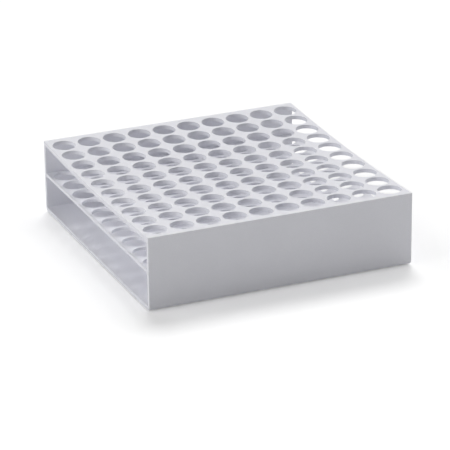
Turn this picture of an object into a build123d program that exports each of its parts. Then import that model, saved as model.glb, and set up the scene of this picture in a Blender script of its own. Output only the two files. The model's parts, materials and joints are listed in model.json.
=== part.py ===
from build123d import *
import os

# A bench rack for microcentrifuge tubes, made of three pieces of rigid plastic sheet:
# a U-shaped outer shell, and two drilled plates welded between its walls.
# Frame: millimetres, +Z up, origin on the table under the middle of the base.
# X runs along the front wall, from one open end of the rack to the other.
# Y runs from the front wall (-Y) to the back wall (+Y).

# ---- Driving dimensions ----
columns = 10  # tube holes along X
rows = 10  # tube holes along Y
hole_pitch = 13.0  # centre to centre, both ways
hole_diameter = 11.2  # passes the body of a 1.5 or 2 ml tube and stops its rim
edge_margin = 7.2  # centre of an outer hole to the nearest edge of its plate
sheet = 2.0  # thickness of the shell and of the top plate
middle_sheet = 1.5  # thickness of the middle plate
rack_height = 36.0  # table to the top edges of the two walls
bend_radius = 0.5  # inside radius of the two hot bends
middle_height = 18.3  # table to the underside of the middle plate
top_sag = 1.65  # how far the top plate droops, half-way between the walls
weld_gap = 0.0  # plate edge to wall: they are welded face to face

# ---- Sizes that follow from them ----
plate_length = (columns - 1) * hole_pitch + 2 * edge_margin
plate_depth = (rows - 1) * hole_pitch + 2 * edge_margin
plate_edge = plate_depth / 2
wall_centre = plate_edge + weld_gap + sheet / 2


def run_along_x(section):
    """The solid of a section, drawn as (Y, Z), from one open end of the rack to the other."""
    return extrude(Plane.YZ * section, amount=plate_length / 2, both=True)


def drilled(plate):
    """A plate with all its tube holes drilled straight down."""
    drill = Cylinder(hole_diameter / 2, 2 * rack_height)
    return plate - GridLocations(hole_pitch, hole_pitch, columns, rows) * drill


def outer_shell():
    """Front wall, base and back wall: one sheet, hot bent along its two bottom edges."""
    centre_line = FilletPolyline(
        (-wall_centre, rack_height),
        (-wall_centre, sheet / 2),
        (wall_centre, sheet / 2),
        (wall_centre, rack_height),
        radius=bend_radius + sheet / 2,
    )
    return run_along_x(trace(centre_line, line_width=sheet))


def middle_plate():
    """The lower drilled plate, flat, which keeps the tubes upright."""
    section = Rectangle(plate_depth, middle_sheet, align=(Align.CENTER, Align.MIN))
    return drilled(run_along_x(Pos(0, middle_height) * section))


def top_plate():
    """The upper drilled plate, flush with the walls' top edges and drooping between them."""
    above = ThreePointArc(
        (-plate_edge, rack_height),
        (0, rack_height - top_sag),
        (plate_edge, rack_height),
    )
    below = Pos(0, -sheet) * above
    ends = [Line(above @ end, below @ end) for end in (0, 1)]
    return drilled(run_along_x(make_face([above, below, *ends])))


pieces = {
    "outer_shell": outer_shell(),
    "middle_plate": middle_plate(),
    "top_plate": top_plate(),
}

os.makedirs("parts", exist_ok=True)
for name, piece in pieces.items():
    export_step(piece, f"parts/{name}.step")
    size = piece.bounding_box().size
    print(f"{name}: {size.X:.2f} x {size.Y:.2f} x {size.Z:.2f} mm, {piece.volume:.0f} mm3")
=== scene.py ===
"""A ten by ten rack for microcentrifuge tubes: its folded shell, its two drilled plates and a studio."""
import json
from math import cos, pi, radians, sin

import bpy
from bpy.props import FloatProperty, FloatVectorProperty, IntProperty, PointerProperty
from mathutils import Matrix, Vector


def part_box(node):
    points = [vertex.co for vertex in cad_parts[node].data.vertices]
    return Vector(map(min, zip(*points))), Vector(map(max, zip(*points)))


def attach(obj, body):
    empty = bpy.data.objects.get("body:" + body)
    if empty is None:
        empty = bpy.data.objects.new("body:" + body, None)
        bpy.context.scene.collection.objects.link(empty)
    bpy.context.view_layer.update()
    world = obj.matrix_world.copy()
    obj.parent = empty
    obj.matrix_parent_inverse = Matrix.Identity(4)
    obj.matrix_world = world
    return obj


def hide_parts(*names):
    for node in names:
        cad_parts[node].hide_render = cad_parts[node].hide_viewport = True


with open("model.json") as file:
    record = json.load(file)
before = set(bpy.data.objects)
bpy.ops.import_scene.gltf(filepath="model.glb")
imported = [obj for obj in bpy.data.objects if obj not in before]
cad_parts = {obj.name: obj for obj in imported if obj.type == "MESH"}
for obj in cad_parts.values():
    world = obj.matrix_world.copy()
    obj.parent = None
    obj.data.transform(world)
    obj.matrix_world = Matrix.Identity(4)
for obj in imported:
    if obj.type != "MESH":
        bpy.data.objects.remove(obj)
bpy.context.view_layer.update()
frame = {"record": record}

bl_info = {
    "name": "Microcentrifuge Tube Rack",
    "version": (1, 0, 0),
    "blender": (4, 5, 0),
    "location": "3D View > Sidebar > Tube Rack",
    "description": "A folded plastic shell with two drilled plates for a hundred tubes, and its studio",
    "category": "Object",
}

MM = 0.001
NEAR = 0.01 * MM  # places closer than this count as one
DIGITS = 6  # places in metres are told apart to the micrometre
SHARP = radians(60)  # an edge where the faces turn by more stays sharp
FACING = 0.5  # a face whose normal has more than this along an axis faces that way
WHITE = (1.0, 1.0, 1.0, 1.0)
BODY = "root"

# ---- Sizes that the frame gives ----

WELLS = [mount for mount in frame["record"]["mounts"] if mount["name"].startswith("well_")]
COLUMNS_AT = sorted({round(well["pos_m"][0], DIGITS) for well in WELLS})
ROWS_AT = sorted({round(well["pos_m"][1], DIGITS) for well in WELLS})
SHELL_LOW, SHELL_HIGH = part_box("outer_shell")
MIDDLE_LOW, MIDDLE_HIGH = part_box("middle_plate")
TOP_LOW, TOP_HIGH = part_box("top_plate")
SHEET = SHELL_HIGH.y - TOP_HIGH.y
PITCH = (COLUMNS_AT[-1] - COLUMNS_AT[0]) / (len(COLUMNS_AT) - 1)

# ---- Settings ----


def length(name, description, default, precision=2):
    """A length property, kept in metres."""
    return FloatProperty(name=name, description=description, default=default, min=0,
                         unit="LENGTH", subtype="DISTANCE", precision=precision)


def angle(name, description, degrees):
    """An angle property, kept in radians."""
    return FloatProperty(name=name, description=description, default=radians(degrees),
                         unit="ROTATION", subtype="ANGLE")


def amount(name, description, default, most=1.0):
    """A plain number from 0 up."""
    return FloatProperty(name=name, description=description, default=default, min=0, max=most)


def colour(name, description, default):
    """A linear colour property."""
    return FloatVectorProperty(name=name, description=description, default=default,
                               size=3, min=0, max=1, subtype="COLOR")


class RackSizes(bpy.types.PropertyGroup):
    """Sizes of the rack's pieces"""

    columns: IntProperty(name="Columns", description="Tube holes along the front wall",
                         default=len(COLUMNS_AT), min=1)
    rows: IntProperty(name="Rows", description="Tube holes from the front wall to the back wall",
                      default=len(ROWS_AT), min=1)
    pitch: length("Pitch", "Distance between the centres of neighbouring holes", PITCH)
    hole: length("Hole diameter", "Diameter of a tube hole", 2 * MM * WELLS[0]["dims"]["r_mm"])
    sheet: length("Sheet thickness", "Thickness of the shell and of the top plate", SHEET)
    middle_sheet: length("Middle thickness", "Thickness of the middle plate",
                         MIDDLE_HIGH.z - MIDDLE_LOW.z)
    middle_height: length("Middle height", "From the table to the underside of the middle plate",
                          MIDDLE_LOW.z)
    sag: length("Top sag", "How far the top plate droops half-way between the walls",
                TOP_HIGH.z - TOP_LOW.z - SHEET)
    bend: length("Bend radius", "Inside radius of the two hot bends", 0.5 * MM)
    arris: length("Edge rounding", "Rounding of the cut edges and hole rims", 0.16 * MM, 3)
    hole_sides: IntProperty(name="Hole sides", description="Flat sides that make up a round hole, "
                            "a multiple of 8", default=48, min=8, step=8)
    bend_steps: IntProperty(name="Bend steps", description="Points along each hot bend",
                            default=10, min=2)
    arris_steps: IntProperty(name="Edge steps", description="Narrow faces across a rounded edge",
                             default=2, min=1)


class RackFinish(bpy.types.PropertyGroup):
    """Colours and finish of the plastic"""

    sheet_colour: colour("Sheet", "Colour of the sheet's faces", (0.890, 0.893, 0.945))
    # darker than the sheet: partly the sawn surface's own tone, partly painted shade on the end faces, which
    # the low side lamps light strongly
    sawn_and_shade_colour: colour("Cut edge", "Colour of the sawn edges", (0.833, 0.836, 0.885))
    rough: amount("Roughness", "Roughness of the satin faces", 0.50)
    sawn_rough: amount("Sawn roughness", "Roughness of the sawn edges", 0.58)
    drilled_rough: amount("Drilled roughness", "Roughness of the walls of the holes", 0.46)
    grain: length("Grain size", "Size of the fine grain in the faces", 0.45 * MM, 3)
    grain_depth: length("Grain depth", "Depth of that grain", 0.02 * MM, 4)
    clouds: length("Cloud size", "Size of the faint light and dark clouds in the faces", 26 * MM)
    waves: length("Wave width", "Width of the slow waves that extruding leaves", 3.2 * MM)
    wear: amount("Wear", "How pale the rubbed and scuffed places are", 0.6)
    wear_width: length("Wear width", "How far rubbing reaches from an edge or a rim", 0.9 * MM)
    saw_marks: length("Saw mark width", "Width of the marks across a sawn edge", 0.30 * MM, 3)
    saw_lines: length("Saw line width", "Width of the fine lines along a sawn edge", 0.22 * MM, 3)
    drill_rings: length("Drill ring height", "Height of a ring in a hole's wall", 0.20 * MM, 3)
    tool_depth: length("Tool mark depth", "Depth of the marks of the saw and the drill", 0.02 * MM, 4)


class StudioSettings(bpy.types.PropertyGroup):
    """Camera, lamps and floor"""

    camera_azimuth: angle("Camera azimuth", "Turn of the camera round the rack; 0 faces the front wall",
                          -23.10)
    camera_elevation: angle("Camera elevation", "Height of the camera above the horizon", 22.25)
    camera_roll: angle("Camera roll", "Turn of the camera about its own axis", -0.543)
    camera_distance: length("Camera distance", "From the camera to the point it aims at", 1.3804, 4)
    camera_aim: FloatVectorProperty(name="Camera aim", description="The point that the camera aims at",
                                    default=(0.00118, 0.00160, 0.00519), size=3, subtype="TRANSLATION")
    camera_reach: length("Camera reach", "How far the camera sees", 20.0)
    sensor: FloatProperty(name="Sensor", description="Width of the camera's sensor", default=36.0,
                          unit="CAMERA")
    lens: FloatProperty(name="Lens", description="Focal length, for that sensor", default=231.4,
                        unit="CAMERA")
    left_level: amount("Left lamp", "Light of the low lamp past the left end", 0.375, 10)
    right_level: amount("Right lamp", "Light of the low lamp past the right end", 0.20, 10)
    back_level: amount("Back lamp", "Light of the high lamp behind the rack", 0.42, 10)
    sky_level: amount("Sky level", "Light of the white surroundings", 0.165, 10)
    floor_colour: colour("Floor", "Colour of the floor and backdrop", (1.0, 1.0, 1.0))
    floor_lift: amount("Floor lift", "How much the seen floor is lightened towards white", 0.255)
    # the extra lift away from the rack is painted light that wipes out the far, faint end of the rack's
    # shadow
    clear_from: length("Clear from", "Distance from the rack at which the seen floor starts to clear",
                       10 * MM)
    clear_at: length("Clear at", "Distance from the rack at which the seen floor has cleared", 40 * MM)
    clear_lift: amount("Clear lift", "How much more the seen floor is lightened by then", 0.08)
    floor_gap: length("Floor gap", "Gap under the base, which stands on its high spots", 0.4 * MM, 3)
    floor_size: length("Floor size", "Side of the floor", 6.0)


# ---- Node trees written as Python expressions ----


class Wire:
    """An output socket. Sums and products of wires add their Math nodes."""

    def __init__(self, nodes, socket):
        self.nodes = nodes
        self.socket = socket

    def math(self, operation, *others):
        """A Math node of that operation on this value and the others."""
        return self.nodes.math(operation, self, *others)

    def output(self, name):
        """Another output of the same node."""
        return Wire(self.nodes, self.socket.node.outputs[name])

    def __add__(self, other):
        return self.math("ADD", other)

    def __radd__(self, other):
        return self.nodes.math("ADD", other, self)

    def __sub__(self, other):
        return self.math("SUBTRACT", other)

    def __rsub__(self, other):
        return self.nodes.math("SUBTRACT", other, self)

    def __mul__(self, other):
        return self.math("MULTIPLY", other)

    def __rmul__(self, other):
        return self.nodes.math("MULTIPLY", other, self)

    def __truediv__(self, other):
        return self.math("DIVIDE", other)

    def __gt__(self, other):
        return self.math("GREATER_THAN", other)

    def __lt__(self, other):
        return self.math("LESS_THAN", other)

    def __abs__(self):
        return self.math("ABSOLUTE")


class Nodes:
    """Fills an emptied shader tree or geometry tree with nodes."""

    def __init__(self, tree):
        self.tree = tree
        tree.nodes.clear()

    def add(self, kind, settings=None, inputs=None):
        """A node with its settings made first, then its inputs, by name or by number.

        An input is a value, a wire, or a list of wires.
        """
        node = self.tree.nodes.new(kind)
        for name, value in (settings or {}).items():
            setattr(node, name, value)
        live = [socket for socket in node.inputs if socket.enabled]
        for key, value in (inputs or {}).items():
            socket = live[key] if isinstance(key, int) else next(s for s in live if s.name == key)
            for each in value if isinstance(value, list) else [value]:
                if isinstance(each, Wire):
                    self.tree.links.new(each.socket, socket)
                else:
                    socket.default_value = each
        outputs = [socket for socket in node.outputs if socket.enabled]
        return Wire(self, outputs[0]) if outputs else None

    def math(self, operation, *values):
        """A Math node of that operation on the given values."""
        return self.add("ShaderNodeMath", {"operation": operation}, dict(enumerate(values)))

    def parts(self, vector):
        """The X, Y and Z of a vector."""
        along = self.add("ShaderNodeSeparateXYZ", None, {"Vector": vector})
        return along, along.output("Y"), along.output("Z")

    def ramp(self, value, low, high):
        """0 below low, 1 above high, and smooth between."""
        return self.add("ShaderNodeMapRange", {"interpolation_type": "SMOOTHSTEP"},
                        {"Value": value, "From Min": low, "From Max": high})


def distance(x, y):
    """The distance of a place from the origin, from its X and Y."""
    return (x * x + y * y).math("SQRT")


# ---- Finishes of the plastic ----

# the noise that counts as none of a pattern, and the noise that counts as all of it
SOFT = (0.30, 0.70)
TOOLED = (0.32, 0.68)
PATCHY = (0.42, 0.60)
PATCHES = (0.46, 0.62)
HAIRLINE = (0.64, 0.72)

# the width and the turn of each set of scuffs, oblique to every edge, and how far they are drawn out
SCUFFS = ((0.16 * MM, (0.67, 0.0, -0.88)), (0.14 * MM, (0.30, 0.0, 0.86)))
DRAWN_OUT = (60.0, 1.0, 60.0)

# sizes of the slighter patterns
SCUFFED_PATCH = 22 * MM
RUBBED_PATCH = 5 * MM
SAWN_CLOUD = 7 * MM
DRILL_CHATTER = 0.9 * MM


class Plastic(Nodes):
    """A procedural plastic whose patterns follow the object's own coordinates."""

    def __init__(self, name):
        self.material = bpy.data.materials.new(name)
        self.material.use_nodes = True
        super().__init__(self.material.node_tree)
        self.place = self.add("ShaderNodeTexCoord").output("Object")
        self.x, self.y, self.z = self.parts(self.place)

    def noise(self, size, detail=2.0, stretch=None, turn=(0.0, 0.0, 0.0)):
        """Soft noise from 0 to 1 whose spots are about that size, stretched along its turned axes."""
        at = self.place
        if stretch:
            at = self.add("ShaderNodeMapping", {"vector_type": "TEXTURE"},
                          {"Vector": at, "Rotation": turn, "Scale": stretch})
        return self.add("ShaderNodeTexNoise", None,
                        {"Vector": at, "Scale": 1.0 / size, "Detail": detail})

    def pattern(self, spread, size, **noise):
        """Noise drawn apart into places with none and all of a pattern."""
        return self.ramp(self.noise(size, **noise), *spread)

    def mix(self, share, first, second):
        """From the first colour to the second, by that share."""
        def rgba(paint):
            return paint if isinstance(paint, Wire) else (*paint, 1.0)
        return self.add("ShaderNodeMix", {"data_type": "RGBA"},
                        {"Factor": share, "A": rgba(first), "B": rgba(second)})

    def tint(self, share, paint, dark, light):
        """From the dark shade of a colour to its light shade, by that share."""
        return self.mix(share, shade(paint, dark), shade(paint, light))

    def finish(self, paint, roughness, height, depth):
        """Closes the material: its colour, its roughness, and a height from 0 to 1 of that depth."""
        bump = self.add("ShaderNodeBump", None,
                        {"Strength": 1.0, "Distance": depth, "Height": height})
        shader = self.add("ShaderNodeBsdfPrincipled", None,
                          {"Base Color": paint, "Roughness": roughness, "Normal": bump})
        self.add("ShaderNodeOutputMaterial", None, {"Surface": shader})
        return self.material


def shade(paint, factor):
    """A colour made lighter or darker."""
    return tuple(min(1.0, part * factor) for part in paint)


def swing(pattern, much):
    """A pattern made to swing about 0, by that much from none to all of it."""
    return (pattern - 0.5) * much


def hairlines(plastic):
    """Patches of hairline scuffs, 1 on a line."""
    first, second = (plastic.pattern(HAIRLINE, width, detail=1.0, stretch=DRAWN_OUT, turn=turn)
                     for width, turn in SCUFFS)
    return (first + second) * plastic.pattern(PATCHES, SCUFFED_PATCH)


def rub(plastic, away, width):
    """Patchy wear within that width of an edge or a rim, from how far away it is."""
    near = 1.0 - plastic.ramp(away, 0.0, width)
    return near * plastic.pattern(PATCHY, RUBBED_PATCH, detail=3.0)


def beyond_rim(plastic, sizes):
    """How far a place on a plate is from the rim of its tube hole."""
    off_centre = distance(*((place / sizes.pitch).math("FRACT") - 0.5 for place in (plastic.x, plastic.y)))
    return off_centre * sizes.pitch - sizes.hole / 2


def satin_sheet(name, finish, sizes, handled=False):
    """The faces of the extruded sheet: satin, with a fine grain, faint clouds, scuffs and rubbed edges.

    A handled face has no rubbed top edge, and has the rub marks that tubes leave round its holes.
    """
    plastic = Plastic(name)
    grain = plastic.pattern(SOFT, finish.grain, detail=3.0)
    clouds = plastic.pattern(SOFT, finish.clouds, detail=3.0)
    waves = plastic.noise(finish.waves, detail=1.0, stretch=(4.0, 1.0, 1.0))
    from_end = SHELL_HIGH.x - abs(plastic.x)
    from_top = SHELL_HIGH.z - plastic.z
    edge = from_end if handled else from_end.math("MINIMUM", from_top)
    worn = rub(plastic, edge, finish.wear_width) * 0.8 + hairlines(plastic) * 0.6
    if handled:
        worn = worn + rub(plastic, beyond_rim(plastic, sizes), finish.wear_width)
    paint = plastic.tint(clouds * 0.55 + grain * 0.45, finish.sheet_colour, dark=0.970, light=1.025)
    paint = plastic.mix(worn * finish.wear, paint, shade(finish.sheet_colour, 1.10))
    roughness = finish.rough + swing(clouds, 0.10) + swing(grain, 0.12) - worn * 0.12
    return plastic.finish(paint, roughness, grain * 0.55 + waves * 0.45, finish.grain_depth)


def handled_sheet(name, finish, sizes):
    """The faces of the top plate, which tubes rub."""
    return satin_sheet(name, finish, sizes, handled=True)


def sawn_edge(name, finish, sizes):
    """The sawn edges of the sheet: a little greyer, partly their own tone and partly painted shade on the end
    faces, with marks across the cut and fine lines along it.
    """
    plastic = Plastic(name)
    strokes = plastic.pattern(TOOLED, finish.saw_marks, stretch=(1.0, 1.0, 9.0))
    lines = plastic.pattern(TOOLED, finish.saw_lines, stretch=(14.0, 14.0, 1.0))
    clouds = plastic.pattern(SOFT, SAWN_CLOUD)
    marks = strokes * 0.6 + lines * 0.4
    # the sawn colour is partly painted shade, darkening the end faces against the low side lamps
    paint = plastic.tint(clouds * 0.5 + marks * 0.5, finish.sawn_and_shade_colour, dark=0.955, light=1.045)
    return plastic.finish(paint, finish.sawn_rough + swing(marks, 0.2), marks, finish.tool_depth)


def drilled_wall(name, finish, sizes):
    """The walls of the drilled holes, with the level rings that a drill leaves."""
    plastic = Plastic(name)
    rings = plastic.pattern(SOFT, finish.drill_rings, detail=1.0, stretch=(40.0, 40.0, 1.0))
    chatter = plastic.pattern(SOFT, DRILL_CHATTER)
    paint = plastic.tint(rings * 0.6 + chatter * 0.4, finish.sheet_colour, dark=0.955, light=1.03)
    height = rings * 0.8 + chatter * 0.2
    return plastic.finish(paint, finish.drilled_rough + swing(rings, 0.16), height, finish.tool_depth)


# what makes each finish, from its name, the finish settings and the sizes
FINISHES = {"satin sheet": satin_sheet, "handled sheet": handled_sheet,
            "sawn edge": sawn_edge, "drilled wall": drilled_wall}


def finishes(scene):
    """The rack's four finishes, in the order of FINISHES, each made once."""
    return [bpy.data.materials.get(name) or make(name, scene.rack_finish, scene.rack_sizes)
            for name, make in FINISHES.items()]


# ---- Geometry trees ----


class Shape(Nodes):
    """A geometry tree with a named input for each of its sizes and materials."""

    def __init__(self, name, **sizes):
        super().__init__(bpy.data.node_groups.new(name, "GeometryNodeTree"))
        self.tree.interface.new_socket("Geometry", in_out="OUTPUT", socket_type="NodeSocketGeometry")
        self.values = {}
        kinds = {int: "NodeSocketInt", float: "NodeSocketFloat", bpy.types.Material: "NodeSocketMaterial"}
        for key, value in sizes.items():
            title = key.replace("_", " ").capitalize()
            item = self.tree.interface.new_socket(title, in_out="INPUT", socket_type=kinds[type(value)])
            self.values[item.identifier] = value
        source = self.tree.nodes.new("NodeGroupInput")
        for key, socket in zip(sizes, source.outputs):
            setattr(self, key, Wire(self, socket))

    def position(self):
        """The position's X, Y and Z."""
        return self.parts(self.add("GeometryNodeInputPosition"))

    def normal(self):
        """The normal's X, Y and Z."""
        return self.parts(self.add("GeometryNodeInputNormal"))

    def moved(self, geometry, x, y, z):
        """The geometry with each point at that place."""
        place = self.add("ShaderNodeCombineXYZ", None, {"X": x, "Y": y, "Z": z})
        return self.add("GeometryNodeSetPosition", None, {"Geometry": geometry, "Position": place})

    def merged(self, geometry):
        """The geometry with its doubled points made one."""
        return self.add("GeometryNodeMergeByDistance", None, {"Geometry": geometry, "Distance": NEAR})

    def rounded_where(self, geometry, free):
        """Smooth faces between sharp edges, with those that are free marked for the edge rounding."""
        sharp = self.add("GeometryNodeInputMeshEdgeAngle") > SHARP
        geometry = self.add("GeometryNodeSetShadeSmooth", {"domain": "FACE"}, {"Geometry": geometry})
        geometry = self.add("GeometryNodeSetShadeSmooth", {"domain": "EDGE"},
                            {"Geometry": geometry, "Selection": sharp, "Shade Smooth": False})
        return self.add("GeometryNodeStoreNamedAttribute", {"data_type": "FLOAT", "domain": "EDGE"},
                        {"Geometry": geometry, "Name": "bevel_weight_edge", "Value": sharp * free})

    def close(self, geometry, face_material, *others):
        """Ends the tree with its materials: one all over, then each other one where it belongs."""
        geometry = self.add("GeometryNodeRealizeInstances", None, {"Geometry": geometry})
        for material, where in ((face_material, True), *others):
            geometry = self.add("GeometryNodeSetMaterial", None,
                                {"Geometry": geometry, "Selection": where, "Material": material})
        out = self.tree.nodes.new("NodeGroupOutput")
        self.tree.links.new(geometry.socket, out.inputs[0])


def plain_mesh(name, shape, sizes):
    """The piece that a shape makes: a plain mesh with its marked edges rounded."""
    piece = bpy.data.objects.new(name, bpy.data.meshes.new(name))
    bpy.context.scene.collection.objects.link(piece)
    maker = piece.modifiers.new(name, "NODES")
    maker.node_group = shape.tree
    for identifier, value in shape.values.items():
        maker[identifier] = value
    rounding = piece.modifiers.new("Edge rounding", "BEVEL")
    rounding.limit_method = "WEIGHT"
    rounding.width = sizes.arris
    rounding.segments = sizes.arris_steps
    rounding.harden_normals = True
    made = bpy.data.meshes.new_from_object(piece.evaluated_get(bpy.context.evaluated_depsgraph_get()))
    piece.modifiers.clear()
    bpy.data.node_groups.remove(shape.tree)
    piece.data = made
    made.name = name
    if not made.polygons:
        raise RuntimeError(f"{name} has no faces")
    if made.materials[0] is None:  # the slot that a mesh grid starts with, which no face keeps
        made.materials.pop(index=0)
    return piece


def drilled_plate(name, sizes, underside, thickness, sag, face, edge, wall):
    """A plate of square cells, each with a round hole, which droops between the two walls."""
    shape = Shape(name, columns=sizes.columns, rows=sizes.rows, pitch=sizes.pitch, hole=sizes.hole,
                  hole_sides=sizes.hole_sides, length=MIDDLE_HIGH.x - MIDDLE_LOW.x,
                  depth=MIDDLE_HIGH.y - MIDDLE_LOW.y, thickness=thickness, underside=underside,
                  sag=sag, face_material=face, edge_material=edge, wall_material=wall)
    # one cell: a band of quads, rolled up round the hole, from its rim out to the cell's square
    band = shape.add("GeometryNodeMeshGrid", None,
                     {"Size X": 1.0, "Size Y": 1.0, "Vertices X": shape.hole_sides + 1, "Vertices Y": 2})
    u, v, _ = shape.position()
    turn = (0.5 - u) * (2 * pi)
    x = turn.math("COSINE")
    y = turn.math("SINE")
    square = shape.pitch / 2.0 / abs(x).math("MAXIMUM", abs(y))
    reach = shape.hole / 2.0 + (v + 0.5) * (square - shape.hole / 2.0)
    cell = shape.merged(shape.moved(band, x * reach, y * reach, 0.0))
    # the cells at every hole, with the outermost drawn out to the plate's edges
    centres = shape.add("GeometryNodeMeshGrid", None,
                        {"Size X": (shape.columns - 1) * shape.pitch, "Vertices X": shape.columns,
                         "Size Y": (shape.rows - 1) * shape.pitch, "Vertices Y": shape.rows})
    cells = shape.add("GeometryNodeInstanceOnPoints", None, {"Points": centres, "Instance": cell})
    flat = shape.merged(shape.add("GeometryNodeRealizeInstances", None, {"Geometry": cells}))
    x, y, z = shape.position()
    drawn = []
    for place, count, whole in ((x, shape.columns, shape.length), (y, shape.rows, shape.depth)):
        block = count * shape.pitch / 2.0
        outer = abs(place) > block - NEAR
        drawn.append(place + place.math("SIGN") * outer * (whole / 2.0 - block))
    flat = shape.moved(flat, *drawn, z)
    # the sheet's thickness, closed below
    thick = shape.add("GeometryNodeExtrudeMesh", {"mode": "FACES"},
                      {"Mesh": flat, "Offset Scale": shape.thickness, "Individual": False})
    below = shape.add("GeometryNodeFlipFaces", None, {"Mesh": flat})
    solid = shape.merged(shape.add("GeometryNodeJoinGeometry", None, {"Geometry": [thick, below]}))
    # its rounded edges, all but those that meet the two walls
    x, y, z = shape.position()
    solid = shape.rounded_where(solid, abs(y) < shape.depth / 2.0 - NEAR)
    # its place, drooping between the walls
    across = y / (shape.depth / 2.0)
    droop = (1.0 - across * across) * shape.sag
    solid = shape.moved(solid, x, y, z + shape.underside - droop)
    # its materials: the faces, the walls of the holes, and the four cut edges
    _, _, up = shape.normal()
    upright = abs(up) < FACING
    beyond = (abs(x) - shape.length / 2.0).math("MAXIMUM", abs(y) - shape.depth / 2.0)
    shape.close(solid, shape.face_material, (shape.wall_material, upright),
                (shape.edge_material, upright * (beyond > -NEAR)))
    return plain_mesh(name, shape, sizes)


def folded_shell(name, sizes, face, edge):
    """The front wall, base and back wall: one sheet, folded up round two hot bends."""
    shape = Shape(name, length=SHELL_HIGH.x - SHELL_LOW.x, width=SHELL_HIGH.y - SHELL_LOW.y,
                  height=SHELL_HIGH.z - SHELL_LOW.z, thickness=sizes.sheet, bend=sizes.bend,
                  bend_steps=sizes.bend_steps, face_material=face, edge_material=edge)
    # the sheet's middle line through four points, drawn with the rack's Y and Z as X and Y:
    # the first two are the front wall's, the last two the back wall's, the middle two the base's
    line = shape.add("GeometryNodeMeshLine", None, {"Count": 4})
    from_middle = shape.add("GeometryNodeInputIndex") - 1.5
    side = from_middle.math("SIGN")
    high = abs(from_middle) > 1.0
    half = shape.thickness / 2.0
    line = shape.moved(line, side * (shape.width / 2.0 - half), half + high * (shape.height - half), 0.0)
    path = shape.add("GeometryNodeMeshToCurve", None, {"Mesh": line})
    path = shape.add("GeometryNodeFilletCurve", {"mode": "POLY"},
                     {"Curve": path, "Count": shape.bend_steps, "Radius": shape.bend + half})
    path = shape.add("GeometryNodeSetCurveNormal", {"mode": "Z_UP"}, {"Curve": path})
    section = shape.add("GeometryNodeCurvePrimitiveQuadrilateral", None,
                        {"Width": shape.thickness, "Height": shape.length})
    solid = shape.add("GeometryNodeCurveToMesh", None,
                      {"Curve": path, "Profile Curve": section, "Fill Caps": True})
    x, y, z = shape.position()
    solid = shape.moved(solid, z, x, y)
    # its rounded edges, all but the two that meet the top plate
    tops = z > shape.height - NEAR
    inside = abs(y) < shape.width / 2.0 - shape.thickness + NEAR
    solid = shape.rounded_where(solid, 1.0 - tops * inside)
    # its materials: the faces and the tops of the walls, and the sawn ends
    endways, _, _ = shape.normal()
    shape.close(solid, shape.face_material, (shape.edge_material, abs(endways) > FACING))
    return plain_mesh(name, shape, sizes)


# ---- Studio ----

# each lamp's turn round the rack from its front wall, its height, and how wide it looks, in degrees
LAMPS = {"left": (270, 22, 55), "right": (105, 24, 55), "back": (158, 58, 28)}


def seen_directly(nodes):
    """1 for what the camera sees, straight or in a reflection or through something clear."""
    rays = nodes.add("ShaderNodeLightPath")
    seen = rays.output("Is Camera Ray").math("MAXIMUM", rays.output("Is Glossy Ray"))
    return seen.math("MAXIMUM", rays.output("Is Transmission Ray"))


def make_surroundings(scene, studio):
    """A white world that is plain white where it is seen and lights the rack softly."""
    world = bpy.data.worlds.new("white surroundings")
    world.use_nodes = True
    scene.world = world
    nodes = Nodes(world.node_tree)
    level = nodes.add("ShaderNodeMix", {"data_type": "FLOAT"},
                      {"Factor": seen_directly(nodes), "A": studio.sky_level, "B": 1.0})
    light = nodes.add("ShaderNodeBackground", None, {"Color": WHITE, "Strength": level})
    nodes.add("ShaderNodeOutputWorld", None, {"Surface": light})


def beyond_rack(nodes):
    """How far outside the rack's outline a place on the floor is, seen from above."""
    x, y, _ = nodes.parts(nodes.add("ShaderNodeTexCoord").output("Object"))
    return distance((abs(x) - SHELL_HIGH.x).math("MAXIMUM", 0.0),
                    (abs(y) - SHELL_HIGH.y).math("MAXIMUM", 0.0))


def make_floor(scene, studio):
    """A wide white floor that takes the rack's soft shadow, with painted light that makes it plain white
    further off.
    """
    half, low = studio.floor_size / 2, -studio.floor_gap
    mesh = bpy.data.meshes.new("studio_floor")
    corners = [(-half, -half, low), (half, -half, low), (half, half, low), (-half, half, low)]
    mesh.from_pydata(corners, [], [(0, 1, 2, 3)])
    floor = bpy.data.objects.new("studio_floor", mesh)
    scene.collection.objects.link(floor)
    paper = bpy.data.materials.new("floor paper")
    paper.use_nodes = True
    nodes = Nodes(paper.node_tree)
    matt = nodes.add("ShaderNodeBsdfDiffuse", None, {"Color": (*studio.floor_colour, 1.0)})
    # painted light: the seen floor glows more with distance from the rack, wiping out the far, faint end of
    # its shadow
    cleared = nodes.ramp(beyond_rack(nodes), studio.clear_from, studio.clear_at)
    strength = seen_directly(nodes) * (cleared * studio.clear_lift + studio.floor_lift)
    lift = nodes.add("ShaderNodeEmission", None, {"Color": WHITE, "Strength": strength})
    both = nodes.add("ShaderNodeAddShader", None, {0: matt, 1: lift})
    nodes.add("ShaderNodeOutputMaterial", None, {"Surface": both})
    mesh.materials.append(paper)


def outward(turn, rise):
    """The direction from the rack to a place that far round it from the front and that high."""
    return Vector((sin(turn) * cos(rise), -cos(turn) * cos(rise), sin(rise)))


def make_lamps(scene, studio):
    """Large soft lamps all round the rack. A level of 1 shows a white surface that faces it as white."""
    for name, (turn, rise, spread) in LAMPS.items():
        light = bpy.data.lights.new(f"{name} lamp", "SUN")
        light.energy = getattr(studio, f"{name}_level") * pi
        light.angle = radians(spread)
        lamp = bpy.data.objects.new(f"{name}_lamp", light)
        towards = outward(radians(turn), radians(rise))
        lamp.location = towards
        lamp.rotation_euler = towards.to_track_quat("Z", "Y").to_euler()
        scene.collection.objects.link(lamp)


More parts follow.
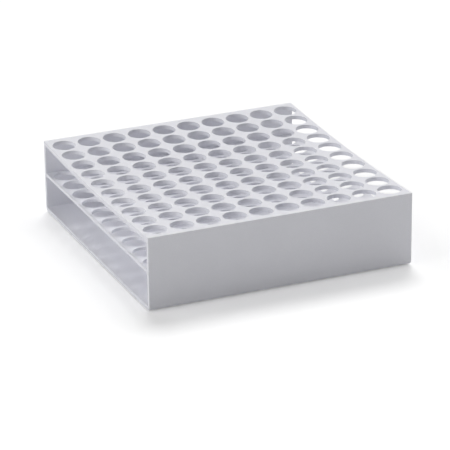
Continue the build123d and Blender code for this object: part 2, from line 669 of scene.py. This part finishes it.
def make_camera(scene, studio):
    """A long lens, a little above the rack and to the left of its front wall."""
    turn, rise = studio.camera_azimuth, studio.camera_elevation
    back = outward(turn, rise)
    right = Vector((cos(turn), sin(turn), 0.0))
    axes = Matrix((right, back.cross(right), back)).transposed() @ Matrix.Rotation(studio.camera_roll, 3, "Z")
    lens = bpy.data.cameras.new("camera")
    lens.lens = studio.lens
    lens.sensor_width = studio.sensor
    lens.clip_end = studio.camera_reach
    camera = bpy.data.objects.new("camera", lens)
    place = Vector(studio.camera_aim) + back * studio.camera_distance
    camera.matrix_world = Matrix.Translation(place) @ axes.to_4x4()
    scene.collection.objects.link(camera)
    scene.camera = camera


# ---- Operators ----


def settle(piece, *nodes):
    """Fixes a finished piece to the rack's body, in place of its plain solids."""
    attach(piece, BODY)
    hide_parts(*nodes)


class RACK_OT_folded_shell(bpy.types.Operator):
    """Makes the front wall, base and back wall from one folded sheet"""
    bl_idname = "rack.folded_shell"
    bl_label = "Folded Shell"

    def execute(self, context):
        satin, _, edge, _ = finishes(context.scene)
        settle(folded_shell("folded_shell", context.scene.rack_sizes, satin, edge), "outer_shell")
        return {"FINISHED"}


class RACK_OT_drilled_plates(bpy.types.Operator):
    """Makes the top plate and the middle plate with all their tube holes"""
    bl_idname = "rack.drilled_plates"
    bl_label = "Drilled Plates"

    def execute(self, context):
        sizes = context.scene.rack_sizes
        satin, handled, edge, wall = finishes(context.scene)
        top = drilled_plate("top_drilled_plate", sizes, TOP_HIGH.z - sizes.sheet, sizes.sheet,
                            sizes.sag, handled, edge, wall)
        settle(top, "top_plate")
        middle = drilled_plate("middle_drilled_plate", sizes, sizes.middle_height, sizes.middle_sheet,
                               0.0, satin, edge, wall)
        settle(middle, "middle_plate")
        return {"FINISHED"}


class RACK_OT_studio(bpy.types.Operator):
    """Sets up the floor, the white surroundings, the lamps and the camera"""
    bl_idname = "rack.studio"
    bl_label = "Studio"

    def execute(self, context):
        studio = context.scene.rack_studio
        context.scene.view_settings.view_transform = "Standard"
        make_surroundings(context.scene, studio)
        make_floor(context.scene, studio)
        make_lamps(context.scene, studio)
        make_camera(context.scene, studio)
        return {"FINISHED"}


class RACK_PT_panel(bpy.types.Panel):
    """Lists the rack's settings and the operators that make its pieces"""
    bl_idname = "RACK_PT_panel"
    bl_label = "Tube Rack"
    bl_space_type = "VIEW_3D"
    bl_region_type = "UI"
    bl_category = "Tube Rack"

    def draw(self, context):
        scene = context.scene
        for settings in (scene.rack_sizes, scene.rack_finish, scene.rack_studio):
            column = self.layout.column(align=True)
            for name in settings.__annotations__:
                column.prop(settings, name)
        for operator in OPERATORS:
            self.layout.operator(operator.bl_idname)


GROUPS = {"rack_sizes": RackSizes, "rack_finish": RackFinish, "rack_studio": StudioSettings}
OPERATORS = (RACK_OT_folded_shell, RACK_OT_drilled_plates, RACK_OT_studio)


def register():
    """Registers the classes and puts their settings on the scene."""
    for group in GROUPS.values():
        bpy.utils.register_class(group)
    for name, group in GROUPS.items():
        setattr(bpy.types.Scene, name, PointerProperty(type=group))
    for each in (*OPERATORS, RACK_PT_panel):
        bpy.utils.register_class(each)


def unregister():
    """Undoes register, last class first."""
    for each in (RACK_PT_panel, *reversed(OPERATORS)):
        bpy.utils.unregister_class(each)
    for name in GROUPS:
        delattr(bpy.types.Scene, name)
    for group in reversed(GROUPS.values()):
        bpy.utils.unregister_class(group)


def main():
    """Makes the rack's pieces and its studio."""
    register()
    bpy.ops.rack.folded_shell()
    bpy.ops.rack.drilled_plates()
    bpy.ops.rack.studio()


if __name__ == "__main__":
    main()
